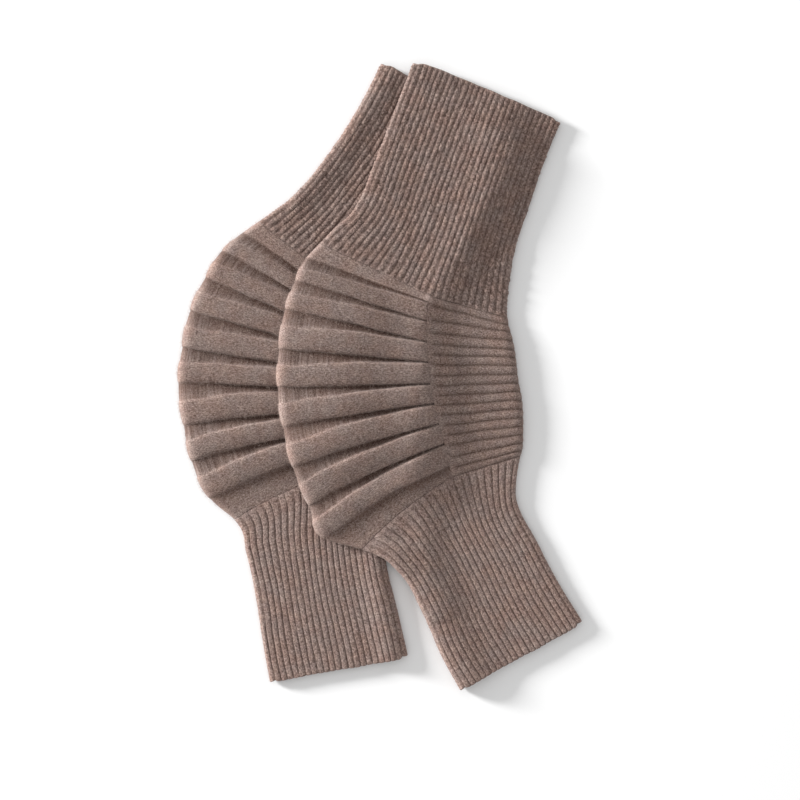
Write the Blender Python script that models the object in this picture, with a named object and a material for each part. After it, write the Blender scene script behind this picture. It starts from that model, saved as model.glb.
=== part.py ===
"""A pair of knitted knee warmers, laid flat, one lying partly on the other.

Each warmer is a flattened tube in four pieces: a ribbed thigh cuff, a pleated knee cup, a finely
ribbed panel behind the knee and a ribbed calf cuff. +X is across the legs, +Y runs up to the thigh
hems, and the pair rests on z = 0.
"""
import math
from collections import namedtuple

import bmesh
import bpy
import numpy as np

MM = 0.001

# Sizes, in millimetres.
WALL = 2.2                 # one layer of the knit, without its ribs
SEAM_GAP = 0.3             # between two pieces
CUFF_RIB_HEIGHT = 0.9
THIGH_RIBS = 27            # on the upper face, between the two folds
CALF_RIBS = 21
BACK_RIB_HEIGHT = 1.0
BACK_RIBS = 17
BACK_RIB_END = 2.0         # how soon a fine rib rises from the side seam
PLEAT_HEIGHT = 4.8
PLEAT_END = 7.0            # how soon a pleat dies out at the side seam
PLEAT_AT_FOLD = 0.8        # how high a pleat still is at the front fold
PLEAT_FULL = 0.3           # share of the front where it has its whole height
PLEAT_LEAD = 3.0           # how far before the first pleat cloth laid over them starts to rise
PLEAT_RISE = 8.0           # and over what distance it rises
FOLD_ASPECT = 0.75         # depth of a fold's rounding, for each millimetre of thickness
FOLD_SWELL = 0.6           # how far a pleat or rib reaches down round a fold, 1 being all round
FOLD_MIDDLE = 0.45         # height of a fold's edge, for each millimetre of thickness
CROWN = 0.1                # how much thinner the tube is beside its folds than in its middle
LIFT = 0.5                 # clearance where the upper warmer lies on the lower one
DRAPE_REACH = 7.0          # how far the upper warmer stays level past what carries it
DRAPE_SPAN = 40.0          # how far it then takes to come down to the floor
CARRIED_SPACING = 3.0      # between the points of the lower warmer that the upper one is laid over
PAIR_CENTRE = (0.03, 0.25)  # middle of the pair on the plan

# Plan of the upper warmer: a row for each section across the leg, from thigh to calf. Every section
# runs from the front fold (left) by the side seam to the back fold (right). bow lifts its front part,
# thick is the height of the flattened tube and pleat the size of the pleat that starts there.
Section = namedtuple("Section", "name left_x left_y seam_x seam_y right_x right_y bow thick pleat")
SECTIONS = (
    Section("thigh hem",   25.0,  236.5,  93.0,  209.5, 136.0,  192.0, 1.5, 5.2, 0.0),
    Section("thigh 1",     11.0,  200.0,  80.5,  177.0, 124.0,  163.0, 0.0, 5.3, 0.0),
    Section("thigh 2",     -3.0,  164.0,  67.5,  141.5, 112.0,  127.5, 0.0, 5.4, 0.0),
    Section("thigh 3",    -18.0,  128.0,  55.0,  105.5, 100.5,   91.5, 0.0, 5.6, 0.0),
    Section("thigh seam", -45.0,  100.0,  38.0,   60.3,  95.5,   44.5, 0.0, 6.2, 0.0),
    Section("pleat 1",    -55.5,   88.5,  36.5,   55.5,  96.0,   39.5, 0.0, 7.0, 0.6),
    Section("pleat 2",    -63.0,   72.0,  35.0,   41.5,  98.0,   32.5, 0.0, 7.7, 0.8),
    Section("pleat 3",    -70.5,   51.0,  35.0,   26.0, 100.5,   21.5, 0.0, 8.1, 1.0),
    Section("pleat 4",    -75.0,   21.0,  36.0,   11.0, 102.0,   10.0, 0.0, 8.3, 1.0),
    Section("pleat 5",    -76.0,   -8.0,  37.5,   -5.0, 103.5,   -3.0, 0.0, 8.3, 1.0),
    Section("pleat 6",    -72.0,  -38.0,  40.5,  -20.0, 106.0,  -16.0, 1.5, 8.3, 1.0),
    Section("pleat 7",    -65.0,  -67.0,  44.0,  -35.0, 107.0,  -29.0, 1.5, 8.1, 1.0),
    Section("pleat 8",    -53.0,  -96.0,  48.0,  -50.0, 107.0,  -42.0, 2.5, 7.7, 0.9),
    Section("pleat end",  -41.0, -121.0,  52.0,  -67.0, 106.5,  -54.0, 4.5, 7.0, 0.0),
    Section("calf seam",  -13.5, -129.0,  54.5,  -74.8, 105.0,  -59.5, 3.5, 6.2, 0.0),
    Section("calf 1",      14.0, -146.0,  68.0, -112.0, 102.0,  -91.0, 0.5, 5.6, 0.0),
    Section("calf 2",      31.5, -175.5,  84.5, -144.0, 118.0, -124.5, 0.0, 5.4, 0.0),
    Section("calf 3",      46.0, -208.5, 100.0, -176.0, 134.0, -155.0, 0.0, 5.2, 0.0),
    Section("calf hem",    61.0, -236.0, 117.0, -204.0, 152.0, -184.0, 1.5, 5.1, 0.0),
)
# The lower warmer has the same sections. Its front fold and side seam lie at places of their own,
# and the part behind the seam is turned clockwise.
Place = namedtuple("Place", "left_x left_y seam_x seam_y degrees")
LOWER_PLACES = (
    Place(   1.5,  236.5,  62.0,  195.5, 12.3),
    Place( -16.0,  202.5,  47.5,  166.0, 11.5),
    Place( -37.0,  170.0,  27.5,  133.5, 12.0),
    Place( -61.0,  140.0,   4.5,  101.0, 13.0),
    Place( -91.0,  116.5, -21.0,   61.0, 14.0),
    Place(-103.0,  108.0, -23.5,   54.5, 14.0),
    Place(-118.0,   95.0, -28.0,   43.5, 13.0),
    Place(-130.5,   75.0, -32.0,   30.5, 12.0),
    Place(-142.0,   50.0, -34.5,   18.0, 11.5),
    Place(-148.0,   22.0, -36.5,    4.0, 11.5),
    Place(-151.0,   -5.0, -37.0,  -11.0, 11.5),
    Place(-147.0,  -36.0, -35.5,  -25.5, 11.5),
    Place(-141.0,  -63.0, -33.0,  -40.0, 12.0),
    Place(-127.0,  -91.5, -30.5,  -57.0, 12.5),
    Place(-109.0, -107.0, -30.5,  -72.0, 13.5),
    Place(-100.0, -132.0, -36.0, -112.0, 14.5),
    Place( -93.0, -164.0, -33.0, -149.0, 16.5),
    Place( -88.0, -196.5, -26.5, -181.5, 17.5),
    Place( -82.0, -230.0, -18.5, -217.5, 18.8),
)
THIGH_SEAM = 4             # rows of SECTIONS
FIRST_PLEAT = 5
LAST_PLEAT = 12
CALF_SEAM = 14

# Cross-section of one pleat: how far along it, and how high.
PLEAT_PROFILE = ((0.0, 0.0), (0.1, 0.1), (0.24, 0.82), (0.5, 1.0), (0.76, 0.82), (0.9, 0.1))

# Lines along a piece. A fold has them at degrees round it, from the underside to the top, and a flat
# layer at shares of its width: 0 at the front fold, 1 at the side seam and 2 at the back fold.
OUTER_FOLD = (-90, -45, 0, 35, 65, 90)
INNER_FOLD = (-90, 0, 90)
FRONT_LAYER = (0.25, 0.5, 0.75, 1.0)
BACK_LAYER = (1.33, 1.67)
PLEATED_LAYER = (0.12, 0.3, 0.5, 0.7, 0.85, 0.93, 0.97, 1.0)
FINE_RIB_LAYER = (1.0, 1.04, 1.2, 1.5, 1.8)
SEAM_SHARE = 0.62          # share of a cuff's flat width that lies in front of the side seam
FOLD_ORDER = 2             # order numbers taken by a fold, by each flat layer, and by the whole ring
LAYER_ORDER = 10
RING_ORDER = 2 * (FOLD_ORDER + LAYER_ORDER)
CUFF_STEPS = 8             # steps along a cuff, outside
KNEE_STEPS = 12            # steps along the knee, inside


def smooth_step(x):
    """0 below 0, 1 above 1, and an even S curve between."""
    x = min(max(x, 0.0), 1.0)
    return x * x * (3 - 2 * x)


def round_end(x):
    """Height of a quarter circle that starts at 0 and is full at 1."""
    x = min(max(x, 0.0), 1.0)
    return math.sqrt(1 - (1 - x) ** 2)


Cut = namedtuple("Cut", "left seam right bow thick")     # left, seam and right are points of the plan


class Leg:
    """One warmer: where each point of its tube lies on the plan, and how thick it is there."""

    def __init__(self, cuts, rest_height):
        middles = [np.mean((cut.left, cut.seam, cut.right), axis=0) for cut in cuts]
        steps = np.linalg.norm(np.diff(middles, axis=0), axis=1)
        self.stations = np.concatenate(([0.0], np.cumsum(steps)))
        self.values = np.array([(*cut.left, *cut.seam, *cut.right, cut.bow, cut.thick) for cut in cuts])
        self.slopes = np.gradient(self.values, self.stations, axis=0)
        self.rest_height = rest_height

    def cut(self, station):
        """The cross-section at a distance along the leg, on a smooth curve through the given ones."""
        last = len(self.stations) - 2
        row = min(max(int(np.searchsorted(self.stations, station)) - 1, 0), last)
        length = self.stations[row + 1] - self.stations[row]
        t = (station - self.stations[row]) / length
        start = self.values[row] * (2 * t ** 3 - 3 * t ** 2 + 1)
        start = start + self.slopes[row] * length * (t ** 3 - 2 * t ** 2 + t)
        end = self.values[row + 1] * (3 * t ** 2 - 2 * t ** 3)
        end = end + self.slopes[row + 1] * length * (t ** 3 - t ** 2)
        values = start + end
        return Cut(values[0:2], values[2:4], values[4:6], values[6], values[7])

    def widths(self, station):
        """Width of the tube in front of and behind the side seam."""
        cut = self.cut(station)
        return np.linalg.norm(cut.seam - cut.left), np.linalg.norm(cut.right - cut.seam)

    def plan(self, station, distance):
        """Point of the plan at a distance from the front fold."""
        left, seam, right, bow, _ = self.cut(station)
        front = np.linalg.norm(seam - left)
        if distance > front:
            along = (right - seam) / np.linalg.norm(right - seam)
            return seam + along * (distance - front)
        along = (seam - left) / front
        lift = bow * 4 * (distance / front) * (1 - distance / front) if distance > 0 else 0.0
        return left + along * distance + np.array((-along[1], along[0])) * lift

    def thickness(self, station, distance):
        front, back = self.widths(station)
        crown = math.sin(math.pi * min(max(distance / (front + back), 0.0), 1.0))
        return self.cut(station).thick * (1 - CROWN + CROWN * crown)

    def fold_depth(self, station):
        return FOLD_ASPECT * self.cut(station).thick

    def flat_distance(self, station, share):
        """Distance from the front fold, for a share of 0 at that fold, 1 at the seam and 2 at the back."""
        front, back = self.widths(station)
        depth = self.fold_depth(station)
        if share <= 1:
            return depth + share * (front - depth)
        return front + (share - 1) * (back - depth)

    def point(self, station, side, at, relief=0.0, inset=0.0):
        """A point of the tube, in metres.

        On a fold (side "left" or "right") at is degrees round it; on the "top" or the "under" layer
        at is the distance from the front fold. relief raises the outside, inset moves in to the
        inside of the wall.
        """
        if side in ("left", "right"):
            front, back = self.widths(station)
            depth = self.fold_depth(station)
            height = self.thickness(station, depth)
            middle = FOLD_MIDDLE * height
            rise = math.sin(math.radians(at))
            swell = relief * max((rise + FOLD_SWELL) / (1 + FOLD_SWELL), 0.0)
            distance = depth - (depth - inset + swell) * math.cos(math.radians(at))
            reach = height - inset - middle + swell if at > 0 else middle - inset
            z = middle + reach * rise
            if side == "right":
                distance = front + back - distance
        else:
            distance = at
            z = self.thickness(station, at) + relief - inset if side == "top" else inset
        x, y = self.plan(station, distance)
        z += self.rest_height(x, y)
        return (x - PAIR_CENTRE[0]) * MM, (y - PAIR_CENTRE[1]) * MM, z * MM


def upper_cuts():
    cuts = []
    for section in SECTIONS:
        left = (section.left_x, section.left_y)
        seam = (section.seam_x, section.seam_y)
        right = (section.right_x, section.right_y)
        cuts.append(Cut(left, seam, right, section.bow, section.thick))
    return cuts


def lower_cuts():
    """The same cross-sections at the lower warmer's places, each turned behind its side seam."""
    cuts = []
    for cut, place in zip(upper_cuts(), LOWER_PLACES):
        angle = math.radians(-place.degrees)
        turn = np.array(((math.cos(angle), -math.sin(angle)), (math.sin(angle), math.cos(angle))))
        left = (place.left_x, place.left_y)
        seam = (place.seam_x, place.seam_y)
        right = turn @ np.subtract(cut.right, cut.seam) + seam
        cuts.append(Cut(left, seam, right, cut.bow, cut.thick))
    return cuts


def highest_relief(leg, station, distance):
    """Height of the highest rib or pleat near a point."""
    rib = max(CUFF_RIB_HEIGHT, BACK_RIB_HEIGHT)
    if distance > leg.widths(station)[0]:
        return rib
    from_pleats = min(station - leg.stations[FIRST_PLEAT], leg.stations[LAST_PLEAT + 1] - station)
    return max(PLEAT_HEIGHT * smooth_step((from_pleats + PLEAT_LEAD) / PLEAT_RISE), rib)


def draped_over(leg):
    """Height of cloth lying on a leg, as a function of the place on the plan."""
    carried = []
    for station in np.arange(0.0, leg.stations[-1], CARRIED_SPACING):
        width = sum(leg.widths(station))
        depth = leg.fold_depth(station)
        for distance in np.arange(depth / 2, width - depth / 2, CARRIED_SPACING):
            x, y = leg.plan(station, distance)
            top = leg.thickness(station, distance) + highest_relief(leg, station, distance)
            carried.append((x, y, top + LIFT))
    carried = np.array(carried)

    def rest_height(x, y):
        away = np.hypot(carried[:, 0] - x, carried[:, 1] - y) - DRAPE_REACH
        fall = np.clip(away / DRAPE_SPAN, 0.0, 1.0)
        return float(np.max(carried[:, 2] * (1 - fall * fall * (3 - 2 * fall))))

    return rest_height


class Column:
    """One line along a piece: its side, its place there, and its order round the tube.

    The order runs from the underside round the front fold, over the top and round the back fold.
    """

    def __init__(self, side, at, raised=0.0):
        self.side = side
        self.at = at
        self.raised = raised
        half_fold = FOLD_ORDER / 2
        if side == "left":
            self.order = half_fold * at / 90
        elif side == "top":
            self.order = half_fold + LAYER_ORDER * at / 2
        elif side == "right":
            self.order = half_fold + LAYER_ORDER + half_fold * (1 - at / 90)
        else:
            self.order = half_fold + LAYER_ORDER + FOLD_ORDER + LAYER_ORDER * (1 - at / 2)


def fold(side, angles):
    ordered = angles if side == "left" else reversed(angles)
    return [Column(side, angle) for angle in ordered]


def layer(side, shares):
    return [Column(side, share) for share in shares]


def underside_before_fold():
    """The front underside, for a piece whose columns start at its seam and not at its fold."""
    columns = layer("under", FRONT_LAYER[::-1])
    for column in columns:
        column.order -= RING_ORDER
    return columns


def knit_sheet(bm, rows, columns, place):
    """A grid formed to the tube: a vertex for each row and column, at place(row, column)."""
    grid = bmesh.ops.create_grid(bm, x_segments=len(columns) - 1, y_segments=len(rows) - 1, size=1)
    table = [[None] * len(columns) for _ in rows]
    for vertex in grid["verts"]:
        column = round((vertex.co.x + 1) / 2 * (len(columns) - 1))
        row = round((vertex.co.y + 1) / 2 * (len(rows) - 1))
        table[row][column] = vertex
        vertex.co = place(rows[row], columns[column])
    return table


def weld_ring(bm, table):
    """Join the last column of a sheet to its first, which makes it a tube."""
    bmesh.ops.weld_verts(bm, targetmap={row[-1]: row[0] for row in table})
    for row in table:
        row[-1] = row[0]


def close_lip(bm, outer, inner, outer_order, inner_order):
    """Close a wall between an edge of its outer sheet and the same edge of its inner sheet."""
    i = 0
    j = 0
    while i < len(outer) - 1 or j < len(inner) - 1:
        if j == len(inner) - 1 or (i < len(outer) - 1 and outer_order[i + 1] <= inner_order[j + 1]):
            bm.faces.new((outer[i], outer[i + 1], inner[j]))
            i += 1
        else:
            bm.faces.new((outer[i], inner[j + 1], inner[j]))
            j += 1


def knit_material(name, colour):
    material = bpy.data.materials.new(name)
    material.use_nodes = True
    shader = material.node_tree.nodes["Principled BSDF"]
    shader.inputs["Base Color"].default_value = (*colour, 1.0)
    shader.inputs["Roughness"].default_value = 0.95
    shader.inputs["Metallic"].default_value = 0.0
    return material


def finish_piece(bm, name, material):
    """Make the closed wall an object with its faces pointing out."""
    bmesh.ops.triangulate(bm, faces=bm.faces[:])
    bmesh.ops.recalc_face_normals(bm, faces=bm.faces[:])
    mesh = bpy.data.meshes.new(name)
    bm.to_mesh(mesh)
    bm.free()
    mesh.shade_smooth()
    mesh.set_sharp_from_angle(angle=math.radians(60))
    mesh.materials.append(material)
    piece = bpy.data.objects.new(name, mesh)
    bpy.context.collection.objects.link(piece)


def make_cuff(leg, name, start, end, ribs, material):
    """A tube of 1x1 rib. Its ribs stand on the upper layer; its folds and its inside are plain."""
    edges = 2 * ribs
    seam_edge = round(SEAM_SHARE * edges)
    underside = layer("under", (*BACK_LAYER[::-1], *FRONT_LAYER[::-1], 0.0))
    outer = fold("left", OUTER_FOLD)
    for k in range(1, edges):
        share = k / seam_edge if k <= seam_edge else 1 + (k - seam_edge) / (edges - seam_edge)
        outer.append(Column("top", share, raised=k % 2))
    outer += fold("right", OUTER_FOLD) + underside
    inner = fold("left", INNER_FOLD) + layer("top", (*FRONT_LAYER, *BACK_LAYER))
    inner += fold("right", INNER_FOLD) + underside

    def place(station, column, inset):
        if column.side in ("left", "right"):
            return leg.point(station, column.side, column.at, inset=inset)
        distance = leg.flat_distance(station, column.at)
        relief = 0.0 if inset else column.raised * CUFF_RIB_HEIGHT
        return leg.point(station, column.side, distance, relief, inset)

    bm = bmesh.new()
    outer_rows = np.linspace(start, end, CUFF_STEPS + 1)
    inner_rows = np.linspace(start, end, CUFF_STEPS // 2 + 1)
    outside = knit_sheet(bm, outer_rows, outer, lambda row, column: place(row, column, 0.0))
    inside = knit_sheet(bm, inner_rows, inner, lambda row, column: place(row, column, WALL))
    weld_ring(bm, outside)
    weld_ring(bm, inside)
    outer_order = [column.order for column in outer]
    inner_order = [column.order for column in inner]
    for hem in (0, -1):
        close_lip(bm, outside[hem], inside[hem], outer_order, inner_order)
    finish_piece(bm, name, material)


def make_knee_panel(leg, name, height, outer, inner, place, material):
    """A panel that is folded once and open at the side seam, with a height for each of its rows."""
    bm = bmesh.new()
    rows = list(height)
    inner_rows = list(np.linspace(rows[0], rows[-1], KNEE_STEPS + 1))
    outside = knit_sheet(bm, rows, outer, lambda row, column: place(row, column, height[row], 0.0))
    inside = knit_sheet(bm, inner_rows, inner, lambda row, column: place(row, column, 0.0, WALL))
    outer_order = [column.order for column in outer]
    inner_order = [column.order for column in inner]
    for end in (0, -1):
        close_lip(bm, outside[end], inside[end], outer_order, inner_order)
        outer_side = [row[end] for row in outside]
        inner_side = [row[end] for row in inside]
        close_lip(bm, outer_side, inner_side, rows, inner_rows)
    finish_piece(bm, name, material)


def make_knee_cup(leg, name, material):
    """The front of the knee: pleats in a fan on the upper layer and round the front fold."""
    start = leg.stations[THIGH_SEAM] + SEAM_GAP / 2
    end = leg.stations[CALF_SEAM] - SEAM_GAP / 2
    first = leg.stations[FIRST_PLEAT]
    last = leg.stations[LAST_PLEAT + 1]
    height = {start: 0.0, (start + first) / 2: 0.0}
    for row in range(FIRST_PLEAT, LAST_PLEAT + 1):
        pitch = leg.stations[row + 1] - leg.stations[row]
        size = PLEAT_HEIGHT * SECTIONS[row].pleat
        height.update({leg.stations[row] + share * pitch: size * up for share, up in PLEAT_PROFILE})
    height.update({last: 0.0, (last + end) / 2: 0.0, end: 0.0})

    outer = underside_before_fold() + fold("left", OUTER_FOLD) + layer("top", PLEATED_LAYER)
    inner = underside_before_fold() + fold("left", INNER_FOLD) + layer("top", FRONT_LAYER)

    def place(station, column, relief, inset):
        if column.side == "left":
            return leg.point(station, "left", column.at, relief * PLEAT_AT_FOLD, inset)
        seam = leg.widths(station)[0] - SEAM_GAP / 2
        distance = min(leg.flat_distance(station, column.at), seam)
        filled = PLEAT_AT_FOLD + (1 - PLEAT_AT_FOLD) * smooth_step(column.at / PLEAT_FULL)
        relief *= filled * round_end((seam - distance) / PLEAT_END)
        return leg.point(station, column.side, distance, relief, inset)

    make_knee_panel(leg, name, height, outer, inner, place, material)


def make_knee_back(leg, name, material):
    """The panel behind the knee: fine ribs across the upper layer, from the seam to the back fold."""
    start = leg.stations[THIGH_SEAM] + SEAM_GAP / 2
    end = leg.stations[CALF_SEAM] - SEAM_GAP / 2
    rows = np.linspace(start, end, 2 * BACK_RIBS + 1)
    height = {station: BACK_RIB_HEIGHT * (k % 2) for k, station in enumerate(rows)}
    underside = layer("under", (*BACK_LAYER[::-1], 1.0))
    outer = layer("top", FINE_RIB_LAYER) + fold("right", OUTER_FOLD) + underside
    inner = layer("top", (1.0, *BACK_LAYER)) + fold("right", INNER_FOLD) + underside

    def place(station, column, relief, inset):
        if column.side == "right":
            return leg.point(station, "right", column.at, relief, inset)
        seam = leg.widths(station)[0] + SEAM_GAP / 2
        distance = max(leg.flat_distance(station, column.at), seam)
        relief *= round_end((distance - seam) / BACK_RIB_END)
        return leg.point(station, column.side, distance, relief, inset)

    make_knee_panel(leg, name, height, outer, inner, place, material)


def make_warmer(leg, prefix, knits):
    thigh_end = leg.stations[THIGH_SEAM] - SEAM_GAP / 2
    calf_start = leg.stations[CALF_SEAM] + SEAM_GAP / 2
    make_cuff(leg, prefix + "_thigh_cuff", 0.0, thigh_end, THIGH_RIBS, knits["thigh"])
    make_knee_cup(leg, prefix + "_knee_cup", knits["cup"])
    make_knee_back(leg, prefix + "_knee_back", knits["back"])
    make_cuff(leg, prefix + "_calf_cuff", calf_start, leg.stations[-1], CALF_RIBS, knits["calf"])


for leftover in list(bpy.data.objects):
    bpy.data.objects.remove(leftover, do_unlink=True)

knits = {
    "thigh": knit_material("thigh_rib_knit", (0.20, 0.15, 0.13)),
    "cup": knit_material("pleated_knit", (0.20, 0.14, 0.12)),
    "back": knit_material("fine_rib_knit", (0.17, 0.12, 0.10)),
    "calf": knit_material("calf_rib_knit", (0.20, 0.15, 0.13)),
}
lower_leg = Leg(lower_cuts(), lambda x, y: 0.0)
upper_leg = Leg(upper_cuts(), draped_over(lower_leg))
make_warmer(lower_leg, "under", knits)
make_warmer(upper_leg, "over", knits)
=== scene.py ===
import math
from collections import namedtuple

import bmesh
import bpy
import numpy as np
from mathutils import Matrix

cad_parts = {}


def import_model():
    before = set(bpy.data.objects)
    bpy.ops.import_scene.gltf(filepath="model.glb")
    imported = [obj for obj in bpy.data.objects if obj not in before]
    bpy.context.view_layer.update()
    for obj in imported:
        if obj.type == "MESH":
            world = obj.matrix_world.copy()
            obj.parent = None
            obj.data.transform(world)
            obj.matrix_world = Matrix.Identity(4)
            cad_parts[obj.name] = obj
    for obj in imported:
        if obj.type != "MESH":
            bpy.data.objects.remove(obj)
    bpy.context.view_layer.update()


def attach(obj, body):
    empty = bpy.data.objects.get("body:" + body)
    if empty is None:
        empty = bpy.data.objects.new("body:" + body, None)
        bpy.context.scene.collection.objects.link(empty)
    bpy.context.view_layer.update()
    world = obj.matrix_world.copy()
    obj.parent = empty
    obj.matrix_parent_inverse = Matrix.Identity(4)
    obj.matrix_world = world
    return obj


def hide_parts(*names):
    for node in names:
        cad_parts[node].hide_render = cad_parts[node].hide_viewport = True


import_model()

# Thigh cuffs. A tube of 1x1 rib for each leg, knitted in heathered taupe wool at about 4 mm a rib
# and 2.7 mm a row, and bound off at the hem. Each rib is a column of V-shaped stitches that stands
# up and hides the purl column beside it, so the cuff reads as beaded cords with dark grooves. The
# grooves are shaded by their depth and also painted darker, as painted shade.

MM = 0.001                  # all sizes here are in millimetres until a mesh is made
WALL = 2.2                  # one layer of the knit, without its ribs
SEAM_GAP = 0.06             # between two pieces
CUFF_RIB_HEIGHT = 0.9
FOLD_ASPECT = 0.75          # depth of a fold's rounding, for each millimetre of thickness
FOLD_SWELL = 0.6            # how far a pleat or rib reaches down round a fold, 1 being all round
FOLD_MIDDLE = 0.45          # height of a fold's edge, for each millimetre of thickness
CROWN = 0.1                 # how much thinner the tube is beside its folds than in its middle
LIFT = 0.5                  # clearance where the upper warmer lies on the lower one
DRAPE_REACH = 1.0           # how far the upper warmer stays level past what carries it
DRAPE_RUN = 4.2             # how far it then takes to come down, for each millimetre of height
SEAM_SHARE = 0.62           # share of a cuff's ribs that are in front of the side seam
PAIR_CENTRE = (0.03, 0.25)  # middle of the pair on the plan

# Cuts across a warmer from the thigh hem down: where its front fold, its side seam and its back
# fold lie on the plan, how far its front bows, how thick the tube is and how full its pleat.
Section = namedtuple(
    "Section", "name left_x left_y seam_x seam_y right_x right_y bow thick pleat")
SECTIONS = (
    Section("thigh hem",   25.0,  236.5,  93.0,  209.5, 136.0,  192.0, 1.5, 5.2, 0.0),
    Section("thigh 1",     11.0,  200.0,  80.5,  177.0, 124.0,  163.0, 0.0, 5.3, 0.0),
    Section("thigh 2",     -3.0,  164.0,  67.5,  141.5, 112.0,  127.5, 0.0, 5.4, 0.0),
    Section("thigh 3",    -18.0,  128.0,  55.0,  105.5, 100.5,   91.5, 0.0, 5.6, 0.0),
    Section("thigh seam", -45.0,  100.0,  38.0,   60.3,  95.5,   44.5, 0.0, 6.2, 0.0),
    Section("pleat 1",    -55.5,   88.5,  36.5,   55.5,  96.0,   39.5, 0.0, 7.0, 0.6),
    Section("pleat 2",    -63.0,   72.0,  35.0,   41.5,  98.0,   32.5, 0.0, 7.7, 0.8),
    Section("pleat 3",    -70.5,   51.0,  35.0,   26.0, 100.5,   21.5, 0.0, 8.1, 1.0),
    Section("pleat 4",    -75.0,   21.0,  36.0,   11.0, 102.0,   10.0, 0.0, 8.3, 1.0),
    Section("pleat 5",    -76.0,   -8.0,  37.5,   -5.0, 103.5,   -3.0, 0.0, 8.3, 1.0),
    Section("pleat 6",    -72.0,  -38.0,  40.5,  -20.0, 106.0,  -16.0, 1.5, 8.3, 1.0),
    Section("pleat 7",    -65.0,  -67.0,  44.0,  -35.0, 107.0,  -29.0, 1.5, 8.1, 1.0),
    Section("pleat 8",    -53.0,  -96.0,  48.0,  -50.0, 107.0,  -42.0, 2.5, 7.7, 0.9),
    Section("pleat end",  -41.0, -121.0,  52.0,  -67.0, 106.5,  -54.0, 4.5, 7.0, 0.0),
    Section("calf seam",  -13.5, -129.0,  54.5,  -74.8, 105.0,  -59.5, 3.5, 6.2, 0.0),
    Section("calf 1",      14.0, -146.0,  68.0, -112.0, 102.0,  -91.0, 0.5, 5.6, 0.0),
    Section("calf 2",      31.5, -175.5,  84.5, -144.0, 118.0, -124.5, 0.0, 5.4, 0.0),
    Section("calf 3",      46.0, -208.5, 100.0, -176.0, 134.0, -155.0, 0.0, 5.2, 0.0),
    Section("calf hem",    61.0, -236.0, 117.0, -204.0, 152.0, -184.0, 1.5, 5.1, 0.0),
)

# The lower warmer has the same cuts, moved and turned.
Place = namedtuple("Place", "left_x left_y seam_x seam_y degrees")
LOWER_PLACES = (
    Place(   1.5,  236.5,  62.0,  195.5, 12.3),
    Place( -16.0,  202.5,  47.5,  166.0, 11.5),
    Place( -37.0,  170.0,  27.5,  133.5, 12.0),
    Place( -61.0,  140.0,   4.5,  101.0, 13.0),
    Place( -91.0,  116.5, -21.0,   61.0, 14.0),
    Place(-103.0,  108.0, -23.5,   54.5, 14.0),
    Place(-118.0,   95.0, -28.0,   43.5, 13.0),
    Place(-130.5,   75.0, -32.0,   30.5, 12.0),
    Place(-142.0,   50.0, -34.5,   18.0, 11.5),
    Place(-148.0,   22.0, -36.5,    4.0, 11.5),
    Place(-151.0,   -5.0, -37.0,  -11.0, 11.5),
    Place(-147.0,  -36.0, -35.5,  -25.5, 11.5),
    Place(-141.0,  -63.0, -33.0,  -40.0, 12.0),
    Place(-127.0,  -91.5, -30.5,  -57.0, 12.5),
    Place(-109.0, -107.0, -30.5,  -72.0, 13.5),
    Place(-100.0, -132.0, -36.0, -112.0, 14.5),
    Place( -93.0, -164.0, -33.0, -149.0, 16.5),
    Place( -88.0, -196.5, -26.5, -181.5, 17.5),
    Place( -82.0, -230.0, -18.5, -217.5, 18.8),
)
THIGH_SEAM = 4      # rows of SECTIONS
FIRST_PLEAT = 5
LAST_PLEAT = 12
CALF_SEAM = 14
PLEAT_HEIGHT = 4.8
PLEAT_LEAD = 3.0    # how far before the first pleat cloth laid over them starts to rise
PLEAT_RISE = 8.0    # over what distance it rises
PLEAT_FALL = 45.0   # how far past the side seam their height is still felt

# Soft folds of the upper layer: the line that each one runs along, its width and its height.
Ridge = namedtuple("Ridge", "x0 y0 x1 y1 width height")
UPPER_RIDGES = (
    Ridge(101.0,  224.0,  62.0,   70.0, 21.0, 3.4),
    Ridge( 30.0,  -88.0,  26.0, -130.0, 19.0, 5.5),
    Ridge( 26.0, -130.0,  42.0, -175.0, 19.0, 6.5),
    Ridge( 42.0, -175.0,  66.0, -226.0, 19.0, 4.8),
)
LOWER_RIDGES = (
    Ridge(  8.0,  228.0, -30.0,  168.0, 11.0, 2.8),
    Ridge(-30.0,  168.0, -62.0,  134.0, 11.0, 2.8),
    Ridge( -7.0, -122.0,   8.0, -212.0,  9.0, 2.8),
)
Cut = namedtuple("Cut", "left seam right bow thick")


def smooth_step(x):
    x = np.clip(x, 0.0, 1.0)
    return x * x * (3 - 2 * x)


def round_end(x):
    return np.sqrt(1 - (1 - np.clip(x, 0.0, 1.0)) ** 2)


def bell(x):
    return np.exp(-x ** 2)


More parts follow.
